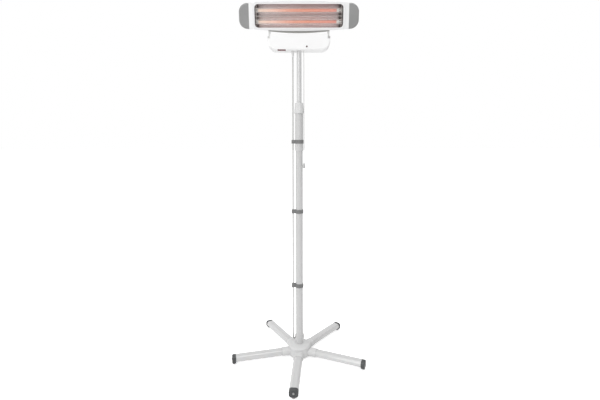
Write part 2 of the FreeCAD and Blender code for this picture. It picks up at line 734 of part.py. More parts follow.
def hank():
    """The spare length: runs folded back and forth, drawn in by a tie at their middle."""
    length, width = value("hank_length"), value("hank_width")
    waist, height = value("hank_waist"), value("hank_height")
    low = value("hank_bottom_y")
    end = width / 2
    neck = (length - width) / 2
    corners = [
        (-end, low + end), (-waist / 2, low + end + neck), (-end, low + length - end),
        (end, low + length - end), (waist / 2, low + end + neck), (end, low + end),
    ]
    far = FreeCAD.Vector(0, low + length, 0)
    near = FreeCAD.Vector(0, low, 0)
    flat = [FreeCAD.Vector(x, y, 0) for x, y in corners]
    outline = [
        Part.LineSegment(flat[0], flat[1]),
        Part.LineSegment(flat[1], flat[2]),
        Part.Arc(flat[2], far, flat[3]),
        Part.LineSegment(flat[3], flat[4]),
        Part.LineSegment(flat[4], flat[5]),
        Part.Arc(flat[5], near, flat[0]),
    ]
    wire = Part.Wire([curve.toShape() for curve in outline])
    feature = doc.addObject("Part::Feature", "cable_hank")
    feature.Shape = Part.Face(wire).extrude(Z * height)
    piece("cable_hank", feature)

    middle = "hank_bottom_y + hank_length / 2"
    span = (f"{middle} - tie_width / 2", f"{middle} + tie_width / 2")
    half = "(hank_waist / 2 + tie_slack)"
    band = block(
        "tie_band", (f"-{half} - tie_wall", f"{half} + tie_wall"), span,
        ("0", "hank_height + tie_wall"),
    )
    inside = block(
        "tie_inside", (f"-{half}", half), (f"{span[0]} - 1", f"{span[1]} + 1"),
        ("-1", "hank_height"),
    )
    piece("hank_tie", cut("hank_tie", band, inside))


def plug():
    """A straight moulded plug with two flat blades and a round earth pin."""
    shell = block(
        "plug_shell", ("-plug_width / 2", "plug_width / 2"), ("plug_start", "plug_end"),
        ("0", "plug_height"),
    )
    body = filleted("plug_eased", shell, "4", lambda edge: runs_along(edge, Y))
    neck = doc.addObject("Part::Cone", "plug_neck")
    neck.Placement = FreeCAD.Placement(
        FreeCAD.Vector(0, value("plug_start - neck_length"), value("plug_height / 2")), ALONG["y"]
    )
    bind(neck, Radius1="cable_radius + 1.1", Radius2="cable_radius + 4", Height="neck_length + 0.5")
    bore = rod(
        "plug_bore", "y", ("0", "plug_height / 2"),
        ("plug_start - neck_length - 1", "cable_end"), "cable_radius",
    )
    piece("plug_body", cut("plug_body", fused("plug_solid", body, neck), bore))
    length = ("plug_end", "plug_end + pin_length")
    blades = [
        block(
            f"blade_{side}", (f"{sign} blade_at - blade_half", f"{sign} blade_at + blade_half"),
            length, ("blade_low", "blade_high"),
        )
        for side, sign in (("left", "-"), ("right", ""))
    ]
    earth_pin = rod("earth_pin", "y", ("0", "earth_height"), length, "earth_radius")
    piece("plug_pins", grouped("plug_pins", *blades, earth_pin))


# --- tilting head ---


TUBE_LINES = {
    "upper": "head_middle + quartz_rise",
    "lower": "head_middle - quartz_rise",
}
BOW = "(head_half ^ 2 + (head_tall - head_short) ^ 2) / (2 * (head_tall - head_short))"


def lens_block(name, half, inset, front, back):
    """A box whose top and bottom bow outwards by a large arc, less an inset all round."""
    body = block(
        f"{name}_box", (f"-({half})", half), (front, back),
        ("head_middle - head_tall", "head_middle + head_tall"),
    )
    above = rod(
        f"{name}_above", "y", ("0", f"head_middle + head_tall - {BOW}"),
        (f"{front} - 1", f"{back} + 1"), f"{BOW} - {inset}",
    )
    below = rod(
        f"{name}_below", "y", ("0", f"head_middle - head_tall + {BOW}"),
        (f"{front} - 1", f"{back} + 1"), f"{BOW} - {inset}",
    )
    return common(name, body, above, below)


def window_block(name, grow, corner, front, back):
    """A block with the window's outline, grown all round, with round corners."""
    solid = block(
        f"{name}_box", (f"-(window_half + {grow})", f"window_half + {grow}"), (front, back),
        (f"head_middle - window_rise - {grow}", f"head_middle + window_rise + {grow}"),
    )
    return filleted(name, solid, corner, lambda edge: runs_along(edge, Y))


def head():
    tilt = FreeCAD.Placement(
        FreeCAD.Vector(), FreeCAD.Rotation(X, value("rest_tilt")),
        FreeCAD.Vector(0, 0, value("tilt_height")),
    )
    back = "head_front + head_depth"
    lip = "head_front + panel_thickness"

    shell = lens_block("housing_outer", "head_half", "0", lip, back)
    rear = value(back)
    eased = filleted(
        "housing_eased", shell, "18",
        lambda edge: abs(edge.CenterOfMass.y - rear) < 0.01 and edge.BoundBox.XLength > 100,
    )
    cavity = lens_block(
        "housing_cavity", "head_half + 1", "head_wall", f"{lip} - 1", f"{back} - head_wall"
    )
    cavity_eased = filleted(
        "housing_cavity_eased", cavity, "16",
        lambda edge: edge.CenterOfMass.y > rear - 3 and edge.BoundBox.XLength > 100,
    )
    piece("head_housing", cut("head_housing", eased, cavity_eased), tilt)

    panel = lens_block("panel_solid", "head_half", "0", "head_front", lip)
    opening = window_block(
        "panel_opening", "0", "window_corner", "head_front - 1", f"{lip} + 1"
    )
    piece("front_panel", cut("front_panel", panel, opening), tilt)

    bezel = window_block(
        "bezel_solid", "bezel_band", "window_corner + 6", "head_front - bezel_thickness", "head_front",
    )
    bezel_hole = window_block(
        "bezel_hole", "0", "window_corner", "head_front - 3", "head_front + 1"
    )
    piece("front_bezel", cut("front_bezel", bezel, bezel_hole), tilt)

    for side, sign in (("left", "-"), ("right", "")):
        near, far = ("-cap_reach", "-head_half") if sign else ("head_half", "cap_reach")
        outer = block(
            f"cap_{side}_block", (near, far), ("head_front", back),
            ("head_middle - head_short", "head_middle + head_short"),
        )
        end = value(near if sign else far)
        corners = filleted(
            f"cap_{side}_corners", outer, "cap_corner",
            lambda edge: runs_along(edge, Y) and abs(edge.CenterOfMass.x - end) < 0.01,
        )
        soft = filleted(
            f"cap_{side}_soft", corners, "7",
            lambda edge: not runs_along(edge, Y)
            and abs(edge.CenterOfMass.x) > value("head_half + 1"),
        )
        hollow = block(
            f"cap_{side}_hollow",
            (f"{near} + 12", f"{far} + 1") if sign else (f"{near} - 1", f"{far} - 12"),
            ("head_front + 3", f"{back} - 3"),
            ("head_middle - head_short + 12", "head_middle + head_short - 12"),
        )
        piece(f"end_cap_{side}", cut(f"end_cap_{side}", soft, hollow), tilt)

    reflector(tilt)
    heating(tilt)
    guard(tilt)
    yoke(tilt)


def level_wires(name, radius):
    """The guard's level wires, or the holes for them in the reflector's end plates."""
    return [
        rod(
            f"{name}_{n}", "x", ("guard_y", f"head_middle + {n} * wire_step"),
            ("-guard_half", "guard_half"), radius,
        )
        for n in (-2, -1, 0, 1, 2)
    ]


def reflector(tilt):
    """Two half-round troughs side by side, with flat sides forward to the window's edge."""
    span = ("-trough_half", "trough_half")
    lip = "head_front + panel_thickness"
    outside = []
    inside = []
    for name, centre in TUBE_LINES.items():
        line = ("quartz_y", centre)
        outside.append(rod(f"trough_{name}", "x", line, span, "trough_radius + trough_sheet"))
        inside.append(rod(f"trough_bore_{name}", "x", line, span, "trough_radius"))
    front = block(
        "trough_front", span, ("quartz_y - 40", "quartz_y"), ("head_middle - 70", "head_middle + 70")
    )
    troughs = cut("troughs", fused("trough_solids", *outside), *inside, front)
    edge = "(quartz_rise + trough_radius)"
    across = ("-trough_half - trough_sheet", "trough_half + trough_sheet")
    kinds = (
        ("flange", "quartz_y", "trough_sheet"),
        ("lip", f"{lip} + trough_sheet", "4.5"),
    )
    sides = []
    for name, sign in (("top", "+"), ("bottom", "-")):
        for kind, depth, rise in kinds:
            heights = [f"head_middle {sign} {edge}", f"head_middle {sign} ({edge} + {rise})"]
            if sign == "-":
                heights.reverse()
            sides.append(block(f"{kind}_{name}", across, (lip, depth), heights))
    for name, reach in (("left", (across[0], span[0])), ("right", (span[1], across[1]))):
        sides.append(block(
            f"end_plate_{name}", reach, (lip, "quartz_y + trough_radius + 2 * trough_sheet"),
            (f"head_middle - {edge} - 2 * trough_sheet", f"head_middle + {edge} + 2 * trough_sheet"),
        ))
    sheet_metal = fused("reflector_sheet", troughs, *sides)
    holes = level_wires("guard_hole", "wire_radius + slip")
    piece("reflector", cut("reflector", sheet_metal, *holes), tilt)


def heating(tilt):
    """The two quartz tubes, the coils inside them and the ceramic holders at their ends."""
    span = ("quartz_left", "quartz_right")
    coils = []
    holders = []
    for name, centre in TUBE_LINES.items():
        line = ("quartz_y", centre)
        glass = rod(f"quartz_{name}_outer", "x", line, span, "quartz_radius")
        bore = rod(f"quartz_{name}_inner", "x", line, span, "quartz_radius - quartz_wall")
        piece(f"quartz_tube_{name}", cut(f"quartz_tube_{name}", glass, bore), tilt)
        coils.append(
            rod(f"coil_{name}", "x", line, ("coil_left", "coil_right"), "coil_radius")
        )
        seat = rod(f"seat_{name}", "x", line, span, "quartz_radius")
        holder = f"holder_{name}"
        left = rod(f"{holder}_left", "x", line, ("-trough_half", "holder_left"), "holder_radius")
        right = fused(
            f"{holder}_right",
            rod(f"{holder}_cup", "x", line, ("holder_right", "holder_end"), "holder_radius"),
            rod(f"{holder}_stem", "x", line, ("holder_end", "trough_half"), "terminal_radius"),
        )
        holders += [
            cut(f"{holder}_{side}_seated", solid, seat)
            for side, solid in (("left", left), ("right", right))
        ]
    piece("heating_coils", grouped("heating_coils", *coils), tilt)
    piece("ceramic_holders", grouped("ceramic_holders", *holders), tilt)


def guard(tilt):
    """A grille of thin level wires, through the reflector's end plates, on two upright ones."""
    upright = [
        rod(
            f"wire_upright_{side}", "z", (x, "guard_y + 1.6"),
            ("head_middle - 46", "head_middle + 46"), "wire_radius",
        )
        for side, x in (("left", "5 - trough_half"), ("right", "trough_half - 5"))
    ]
    level = level_wires("wire", "wire_radius")
    piece("guard_grille", fused("guard_grille", *level, *upright), tilt)


def yoke(tilt):
    """A strap under the housing, thickest at its middle, and the two arms down to the pivots."""
    rise = f"(ear_outer ^ 2 / (2 * {BOW}) + strap_middle - strap_ends)"
    sag = f"(ear_outer ^ 2 / (2 * {rise}))"
    over = rod(
        "strap_over", "y", ("0", f"head_middle - head_tall + {BOW}"),
        ("-strap_half - 1", "strap_half + 1"), BOW,
    )
    under = rod(
        "strap_under", "y", ("0", f"head_middle - head_tall - strap_middle + {sag}"),
        ("-strap_half", "strap_half"), sag,
    )
    reach = block(
        "strap_reach", ("-ear_outer", "ear_outer"), ("-strap_half", "strap_half"),
        ("tilt_height + 15", "head_middle"),
    )
    piece("tilt_strap", cut("tilt_strap", common("strap_bent", under, reach), over), tilt)

    arms = []
    for side, (low, high) in (
        ("left", ("-ear_outer", "-ear_inner")), ("right", ("ear_inner", "ear_outer"))
    ):
        plate = block(
            f"arm_{side}_plate", (low, high), ("-ear_radius", "ear_radius"),
            ("tilt_height", "head_middle - head_tall + 2"),
        )
        end = rod(f"arm_{side}_end", "x", ("0", "tilt_height"), (low, high), "ear_radius")
        arms.append(fused(f"arm_{side}", plate, end))
    bore = rod(
        "arm_bores", "x", ("0", "tilt_height"), ("-box_half", "box_half"),
        "pivot_radius + run_fit",
    )
    piece("yoke_arms", cut("yoke_arms", grouped("arm_pair", *arms), bore, under), tilt)


star_base()
pole()
switch_box()
pull_switch()
mains_cable()
hank()
plug()
head()
doc.recompute()

failed = [item.Name for item in doc.Objects if {"Invalid", "Error"} & set(item.State)]
failed += [item.Label for item in pieces if item.Shape.isNull() or not item.Shape.isValid()]
if failed:
    raise RuntimeError(f"these did not build: {failed}")

os.makedirs("parts", exist_ok=True)
for item in pieces:
    item.Shape.exportStep(f"parts/{item.Label}.step")
print(f"{len(pieces)} parts written")
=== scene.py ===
import math

import bmesh
import bpy
from mathutils import Matrix, Vector


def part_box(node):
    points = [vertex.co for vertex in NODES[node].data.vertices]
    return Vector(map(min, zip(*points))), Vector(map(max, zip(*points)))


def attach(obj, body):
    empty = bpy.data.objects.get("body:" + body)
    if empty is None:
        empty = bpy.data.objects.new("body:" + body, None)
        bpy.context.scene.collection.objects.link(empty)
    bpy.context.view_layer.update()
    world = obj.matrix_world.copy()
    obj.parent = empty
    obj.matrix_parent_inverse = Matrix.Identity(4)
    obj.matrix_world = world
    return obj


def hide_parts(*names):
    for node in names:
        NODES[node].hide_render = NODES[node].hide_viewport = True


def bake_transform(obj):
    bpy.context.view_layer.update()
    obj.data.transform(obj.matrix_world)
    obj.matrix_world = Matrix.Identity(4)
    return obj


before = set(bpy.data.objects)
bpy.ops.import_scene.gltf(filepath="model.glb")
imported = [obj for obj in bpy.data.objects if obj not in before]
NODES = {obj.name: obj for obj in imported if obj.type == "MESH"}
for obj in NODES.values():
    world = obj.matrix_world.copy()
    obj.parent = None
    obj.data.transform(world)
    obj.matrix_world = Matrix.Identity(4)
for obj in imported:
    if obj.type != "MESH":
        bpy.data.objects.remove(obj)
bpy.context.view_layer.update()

# A free-standing radiant heater on a telescopic pole. Metres, in the CAD model's frame:
# the origin is on the floor on the pole's axis, +Z is up and the heater faces -Y.

MM = 0.001


def box(node):
    low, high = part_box(node)
    return Vector(low), Vector(high)


# --- materials ---


class Nodes:
    """A material's node tree, with the few nodes that every finish here is made of."""

    def __init__(self, name):
        self.material = bpy.data.materials.new(name)
        self.material.use_nodes = True
        self.tree = self.material.node_tree
        self.shader = self.tree.nodes["Principled BSDF"]
        place = self.add("ShaderNodeTexCoord")
        self.place = place.outputs["Object"]

    def add(self, kind, **settings):
        node = self.tree.nodes.new(kind)
        for key, number in settings.items():
            setattr(node, key, number)
        return node

    def link(self, start, end):
        self.tree.links.new(start, end)

    def stretched(self, scale):
        """Object coordinates times a factor for each axis, for grain that runs one way."""
        mapping = self.add("ShaderNodeMapping")
        mapping.inputs["Scale"].default_value = scale
        self.link(self.place, mapping.inputs["Vector"])
        return mapping.outputs["Vector"]

    def noise(self, scale, detail=2.0, vector=None):
        node = self.add("ShaderNodeTexNoise")
        node.inputs["Scale"].default_value = scale
        node.inputs["Detail"].default_value = detail
        self.link(vector or self.place, node.inputs["Vector"])
        return node.outputs["Fac"]

    def ramp(self, factor, stops):
        """Colours at positions along a factor."""
        node = self.add("ShaderNodeValToRGB")
        elements = node.color_ramp.elements
        while len(elements) < len(stops):
            elements.new(0.5)
        for element, (position, colour) in zip(elements, stops):
            element.position = position
            element.color = (*colour, 1.0)
        self.link(factor, node.inputs["Fac"])
        return node.outputs["Color"]

    def spread(self, factor, low, high, start=0.3, end=0.7):
        """A factor mapped to a range of values."""
        node = self.add("ShaderNodeMapRange")
        node.inputs["From Min"].default_value = start
        node.inputs["From Max"].default_value = end
        node.inputs["To Min"].default_value = low
        node.inputs["To Max"].default_value = high
        self.link(factor, node.inputs["Value"])
        return node.outputs["Result"]

    def bump(self, height, distance, strength=1.0):
        node = self.add("ShaderNodeBump")
        node.inputs["Strength"].default_value = strength
        node.inputs["Distance"].default_value = distance
        self.link(height, node.inputs["Height"])
        self.link(node.outputs["Normal"], self.shader.inputs["Normal"])

    def set(self, **values):
        """Values that are the same all over the surface."""
        for name, number in values.items():
            self.shader.inputs[name.replace("_", " ")].default_value = number


def shaded(colour, factor):
    return tuple(min(1.0, channel * factor) for channel in colour)


def moulded(name, colour, roughness, grain=900, depth=0.00006, tone=0.05, coat=0.0):
    """Moulded plastic: a fine spark-eroded grain, and faint flow marks in its colour."""
    nodes = Nodes(name)
    flow = nodes.noise(9, 3.0)
    nodes.link(
        nodes.ramp(flow, [(0.3, shaded(colour, 1 - tone)), (0.7, colour)]),
        nodes.shader.inputs["Base Color"],
    )
    nodes.link(
        nodes.spread(nodes.noise(40), roughness - 0.05, roughness + 0.06),
        nodes.shader.inputs["Roughness"],
    )
    nodes.bump(nodes.noise(grain, 1.0), depth, 0.5)
    nodes.set(Coat_Weight=coat, Coat_Roughness=0.12, IOR=1.48)
    return nodes.material


def powder_coated(name, colour, roughness, coat=0.25, tone=0.04):
    """Powder coat on steel: orange peel a few millimetres across under a soft gloss."""
    nodes = Nodes(name)
    cloud = nodes.noise(5, 2.0)
    nodes.link(
        nodes.ramp(cloud, [(0.35, shaded(colour, 1 - tone)), (0.65, colour)]),
        nodes.shader.inputs["Base Color"],
    )
    nodes.link(
        nodes.spread(nodes.noise(60), roughness - 0.04, roughness + 0.05),
        nodes.shader.inputs["Roughness"],
    )
    nodes.bump(nodes.noise(420, 2.0), 0.00008, 0.35)
    nodes.set(Coat_Weight=coat, Coat_Roughness=0.08, IOR=1.5)
    return nodes.material


def metal(name, colour, roughness, direction=(1, 1, 1), grain=300, depth=0.00002):
    """Bare or plated metal, with fine drawing marks along the axis of least scale."""
    nodes = Nodes(name)
    marks = nodes.noise(grain, 3.0, nodes.stretched(direction))
    nodes.link(
        nodes.ramp(marks, [(0.3, shaded(colour, 0.85)), (0.7, colour)]),
        nodes.shader.inputs["Base Color"],
    )
    nodes.link(
        nodes.spread(marks, roughness - 0.04, roughness + 0.08), nodes.shader.inputs["Roughness"]
    )
    nodes.bump(marks, depth, 0.4)
    nodes.set(Metallic=1.0)
    return nodes.material


def along(nodes, axis, low, high):
    """A factor from 0 to 1 between two places on one of the object's axes."""
    split = nodes.add("ShaderNodeSeparateXYZ")
    nodes.link(nodes.place, split.inputs["Vector"])
    return nodes.spread(split.outputs[axis], 0.0, 1.0, low, high)


def times(nodes, first, second, share=1.0):
    """One colour multiplied by a share of another."""
    product = nodes.add("ShaderNodeMix", data_type="RGBA", blend_type="MULTIPLY")
    product.inputs["Factor"].default_value = share
    nodes.link(first, product.inputs["A"])
    nodes.link(second, product.inputs["B"])
    return product.outputs["Result"]


GLOW_LEFT, GLOW_RIGHT = -0.19, 0.17
# Glow colours from left to right: the pale cream at the left end is a painted reflection, and the
# reds are the hot element's own glow.
GLOW_AND_REFLECTION_STOPS = [
    (0.00, (1.00, 0.93, 0.80)),
    (0.22, (1.00, 0.68, 0.58)),
    (0.42, (0.86, 0.33, 0.21)),
    (0.62, (0.82, 0.24, 0.125)),
    (1.00, (0.76, 0.21, 0.16)),
]


def glowing_wire():
    """The heating wire: oxidised alloy that glows red, with a painted reflection that turns its
    glow pale towards the left.
    """
    nodes = Nodes("heating_wire_glow")
    glow_and_reflection_along = along(nodes, "X", GLOW_LEFT, GLOW_RIGHT)
    nodes.link(nodes.ramp(glow_and_reflection_along, GLOW_AND_REFLECTION_STOPS), nodes.shader.inputs["Emission Color"])
    nodes.link(
        nodes.ramp(nodes.noise(300), [(0.3, (0.10, 0.05, 0.03)), (0.7, (0.25, 0.14, 0.09))]),
        nodes.shader.inputs["Base Color"],
    )
    nodes.set(Emission_Strength=0.9, Roughness=0.55, Metallic=0.6)
    return nodes.material


def milky_quartz():
    """Milky quartz lit from inside by the coil, whose turns show as faint bands, with a painted
    reflection that turns its glow pale towards the left.
    """
    nodes = Nodes("milky_quartz")
    glow_and_reflection_along = along(nodes, "X", GLOW_LEFT, GLOW_RIGHT)
    glow = nodes.ramp(glow_and_reflection_along, GLOW_AND_REFLECTION_STOPS)
    turns = nodes.add("ShaderNodeTexWave", wave_type="BANDS", bands_direction="X")
    turns.inputs["Scale"].default_value = 62
    turns.inputs["Distortion"].default_value = 0.6
    nodes.link(nodes.place, turns.inputs["Vector"])
    banded = times(nodes, glow, turns.outputs["Color"], 0.35)
    nodes.link(banded, nodes.shader.inputs["Emission Color"])
    nodes.link(
        nodes.ramp(nodes.noise(120), [(0.3, (0.50, 0.36, 0.31)), (0.7, (0.58, 0.44, 0.38))]),
        nodes.shader.inputs["Base Color"],
    )
    nodes.bump(nodes.noise(220, 2.0, nodes.stretched((0.1, 1, 1))), 0.0001, 0.3)
    nodes.set(
        Emission_Strength=0.46, Roughness=0.3, Transmission_Weight=0.3, IOR=1.46,
        Coat_Weight=0.4, Coat_Roughness=0.06,
    )
    return nodes.material


TROUGH_HALF = 0.20
TROUGH_LOW, TROUGH_HIGH = 1.466, 1.569


def rolled_reflector():
    """Rolled aluminium under a thin oxide: marks along the trough, and a patchy tint.

    Painted shade makes it darkest at its ends, along its edges, and in two lines beside the
    quartz tubes.
    """
    nodes = Nodes("polished_reflector")
    marks = nodes.noise(260, 3.0, nodes.stretched((0.02, 1, 1)))
    tint = nodes.noise(14, 3.0, nodes.stretched((0.3, 1, 1)))
    metal_tone = nodes.ramp(tint, [(0.3, (0.91, 0.87, 0.86)), (0.7, (1.0, 1.0, 1.0))])
    # Painted shade towards both ends of the trough.
    ends = nodes.ramp(along(nodes, "X", -TROUGH_HALF, TROUGH_HALF), [
        (0.030, (0.42, 0.42, 0.41)), (0.052, (1.0, 1.0, 1.0)), (0.500, (0.99, 0.97, 0.965)),
        (0.940, (1.0, 1.0, 1.0)), (0.965, (0.34, 0.34, 0.33)),
    ])
    # Painted shade along the trough's top and bottom edges and in two lines beside the quartz
    # tubes.
    edges = nodes.ramp(along(nodes, "Z", TROUGH_LOW, TROUGH_HIGH), [
        (0.24, (0.74, 0.67, 0.67)), (0.35, (1.0, 1.0, 1.0)), (0.39, (1.0, 1.0, 1.0)),
        (0.42, (0.68, 0.64, 0.63)), (0.46, (1.0, 1.0, 1.0)), (0.58, (1.0, 1.0, 1.0)),
        (0.62, (0.68, 0.64, 0.63)), (0.67, (1.0, 1.0, 1.0)), (0.76, (1.0, 1.0, 1.0)),
        (0.97, (0.64, 0.58, 0.59)),
    ])
    # The patchy tint multiplied by the painted shade at the ends and along the edges.
    tint_and_painted_shade = times(nodes, times(nodes, metal_tone, ends), edges)
    nodes.link(tint_and_painted_shade, nodes.shader.inputs["Base Color"])
    nodes.link(nodes.spread(marks, 0.20, 0.40), nodes.shader.inputs["Roughness"])
    nodes.bump(marks, 0.00005, 0.5)
    nodes.set(Metallic=0.72)
    return nodes.material


def braided(name, colour, roughness):
    """A fine braided sleeve: two sets of strands that wind opposite ways."""
    nodes = Nodes(name)
    bands = []
    for lean in (0.8, -0.8):
        turned = nodes.add("ShaderNodeMapping")
        turned.inputs["Rotation"].default_value = (lean, 0.0, 0.0)
        nodes.link(nodes.place, turned.inputs["Vector"])
        wave = nodes.add("ShaderNodeTexWave", wave_type="BANDS", bands_direction="Z")
        wave.inputs["Scale"].default_value = 260
        nodes.link(turned.outputs["Vector"], wave.inputs["Vector"])
        bands.append(wave.outputs["Fac"])
    weave = nodes.add("ShaderNodeMath", operation="MULTIPLY")
    for number, band in enumerate(bands):
        nodes.link(band, weave.inputs[number])
    height = weave.outputs["Value"]
    # Painted shade: the colour darkens where the weave is low, in the hollows between the
    # strands.
    nodes.link(
        nodes.ramp(height, [(0.0, shaded(colour, 0.72)), (0.6, colour)]),
        nodes.shader.inputs["Base Color"],
    )
    nodes.bump(height, 0.0002, 0.8)
    nodes.set(Roughness=roughness, Sheen_Weight=0.2)
    return nodes.material


FINISHES = {
    "tube": powder_coated("white_tube_paint", (0.60, 0.60, 0.60), 0.24, coat=0.8),
    "mast": powder_coated("white_mast_paint", (0.66, 0.66, 0.66), 0.24, coat=0.8),
    "leg": powder_coated("white_leg_paint", (0.64, 0.64, 0.64), 0.18, coat=1.0),
    "head": powder_coated("white_head_paint", (0.88, 0.88, 0.88), 0.34),
    "white": moulded("white_moulded", (0.90, 0.90, 0.90), 0.36, coat=0.2, tone=0.02),
    "bezel": moulded("white_bezel", (0.84, 0.84, 0.84), 0.38, coat=0.15),
    "hub": moulded("white_hub", (0.69, 0.69, 0.69), 0.38),
    "collar": moulded("white_collar", (0.70, 0.70, 0.70), 0.38, coat=0.2),
    "cap": moulded("grey_cap", (0.30, 0.30, 0.30), 0.55, grain=600, depth=0.00012, tone=0.1),
    # The strap's grey is partly its own paint and partly painted shade for the gap between the
    # head and the switch box.
    "yoke": powder_coated("grey_yoke_paint_and_shade", (0.39, 0.385, 0.37), 0.42),
    "arm": moulded("light_arm", (0.72, 0.72, 0.71), 0.42),
    "foot": moulded("charcoal_foot", (0.062, 0.064, 0.066), 0.42, tone=0.2, coat=0.25),
    "glide": moulded("grey_glide", (0.42, 0.42, 0.41), 0.55),
    "clip": moulded("grey_clip", (0.20, 0.20, 0.20), 0.5, tone=0.12),
    "relief": moulded("light_relief", (0.76, 0.76, 0.76), 0.5),
    "natural": moulded("natural_nylon", (0.60, 0.58, 0.52), 0.5),
    "cable": moulded("white_sheath", (0.56, 0.56, 0.55), 0.42, grain=1400, tone=0.06),
    "grip": moulded("grey_grip", (0.54, 0.54, 0.54), 0.35, coat=0.2),
    "plug": moulded("white_plug", (0.62, 0.62, 0.60), 0.42),
    "tie": moulded("black_tie", (0.012, 0.012, 0.012), 0.4),
    "lens": moulded("dark_lens", (0.05, 0.012, 0.010), 0.18, coat=0.6),
    "mark": moulded("red_mark", (0.13, 0.012, 0.022), 0.4),
    "ceramic": moulded("steatite", (0.88, 0.87, 0.83), 0.7, grain=500, depth=0.0001),
    "steel": metal("plated_steel", (0.62, 0.62, 0.60), 0.32),
    "button": metal("dull_button", (0.46, 0.46, 0.46), 0.42),
    "wire": metal("bright_wire", (0.66, 0.62, 0.60), 0.25, (0.05, 1, 1)),
    "brass": metal("brass_pin", (0.78, 0.60, 0.28), 0.28),
    "cord": braided("braided_cord", (0.50, 0.50, 0.49), 0.8),
    "reflector": rolled_reflector(),
    "quartz": milky_quartz(),
    "glow": glowing_wire(),
}
LEGS = ("front", "right", "back_right", "back_left", "left")
NODE_FINISH = {
    "hub_body": "hub", "hub_cover": "hub", "hub_bolt": "steel", "pole_insert": "natural",
    "foot_glides": "glide", "cap_buttons": "button", "leg_screws": "steel",
    "lower_tube": "tube", "clamp_sleeve": "tube", "collet": "natural", "pole_bush": "natural",
    "cable_clips": "clip", "plug_body": "plug", "plug_pins": "brass", "clamp_collar": "collar",
    "inner_tube": "mast", "inner_tube_bush": "natural", "mast_socket": "steel",
    "support_bracket": "steel", "switch_box_body": "white", "switch_box_lid": "white",
    "lid_screws": "steel", "switch_body": "natural", "switch_spring": "steel",
    "cord_bush": "white", "terminal_block": "natural", "indicator_lens": "lens",
    "cable_relief": "relief", "tilt_screws": "steel", "pull_grip": "grip",
    "switch_plunger": "natural", "tilt_strap": "yoke", "yoke_arms": "arm", "head_housing": "head",
    "front_panel": "head", "front_bezel": "bezel", "reflector": "reflector",
    "guard_grille": "wire", "quartz_tube_upper": "quartz", "quartz_tube_lower": "quartz",
    "ceramic_holders": "ceramic", "end_cap_left": "cap", "end_cap_right": "cap",
    "heating_coils": "glow", "hank_tie": "tie", "cable_hank": "cable",
    "mains_cable_upper": "cable", "mains_cable_lower": "cable", "mains_cable_tail": "cable",
    "pull_cord": "cord",
    **{f"leg_tube_{leg}": "leg" for leg in LEGS},
    **{f"foot_cap_{leg}": "foot" for leg in LEGS},
}


def dress(obj, finish):
    obj.data.materials.clear()
    obj.data.materials.append(FINISHES[finish])
    for polygon in getattr(obj.data, "polygons", ()):
        polygon.material_index = 0
    return obj


for name, finish in NODE_FINISH.items():
    dress(NODES[name], finish)


# --- meshes ---


def mesh_object(name, bm, finish, smooth=True):
    mesh = bpy.data.meshes.new(name)
    bm.normal_update()
    bm.to_mesh(mesh)
    bm.free()
    for polygon in mesh.polygons:
        polygon.use_smooth = smooth
    obj = bpy.data.objects.new(name, mesh)
    bpy.context.scene.collection.objects.link(obj)
    return dress(obj, finish)


def stepped_frames(points):
    """Tangents and a pair of side vectors along a line, turned as little as possible."""
    count = len(points)
    tangents = [
        (points[min(i + 1, count - 1)] - points[max(i - 1, 0)]).normalized() for i in range(count)
    ]
    side = tangents[0].orthogonal().normalized()
    frames = []
    for before, now in zip([tangents[0], *tangents], tangents):
        side = before.rotation_difference(now) @ side
        side = (side - now * side.dot(now)).normalized()
        frames.append((now, side, now.cross(side)))
    return frames


def join(bm, ring, following):
    """Faces between two rings that have the same number of points."""
    count = len(ring)
    for k in range(count):
        n = (k + 1) % count
        bm.faces.new((ring[k], ring[n], following[n], following[k]))


def loop_of_rings(name, bm, rings, finish, sharp=None):
    """A piece made of rings joined in order, the last one to the first."""
    for ring, following in zip(rings, [*rings[1:], rings[0]]):
        join(bm, ring, following)
    bmesh.ops.recalc_face_normals(bm, faces=bm.faces)
    obj = mesh_object(name, bm, finish, smooth=sharp is not None)
    if sharp is not None:
        obj.data.set_sharp_from_angle(angle=math.radians(sharp))
    return obj


def line_of_rings(bm, rings):
    """A solid made of rings joined in order, with its two ends closed."""
    for ring, following in zip(rings, rings[1:]):
        join(bm, ring, following)
    bm.faces.new(list(reversed(rings[0])))
    bm.faces.new(rings[-1])


def tube_mesh(bm, points, radius, sides=16):
    """A round tube with closed ends whose rings are centred on the points."""
    rings = []
    for point, (_, side, other) in zip(points, stepped_frames(points)):
        rings.append([
            bm.verts.new(
                point + radius * (math.cos(turn) * side + math.sin(turn) * other)
            )
            for turn in (2 * math.pi * k / sides for k in range(sides))
        ])
    line_of_rings(bm, rings)


def smooth_line(points, per_run=12):
    """Points read from the NURBS line that has these control points."""
    curve = bpy.data.curves.new("route", "CURVE")
    curve.dimensions = "3D"
    spline = curve.splines.new("NURBS")
    spline.points.add(len(points) - 1)
    for target, point in zip(spline.points, points):
        target.co = (*point, 1.0)
    spline.order_u = 3
    spline.use_endpoint_u = True
    spline.resolution_u = per_run
    carrier = bpy.data.objects.new("route", curve)
    mesh = bpy.data.meshes.new_from_object(carrier)
    line = [vertex.co.copy() for vertex in mesh.vertices]
    bpy.data.objects.remove(carrier)
    bpy.data.meshes.remove(mesh)
    return line


# --- mains cable ---

CABLE_X = -28 * MM
CABLE_RADIUS = 3 * MM
BOX_UNDERSIDE = 1366.5 * MM

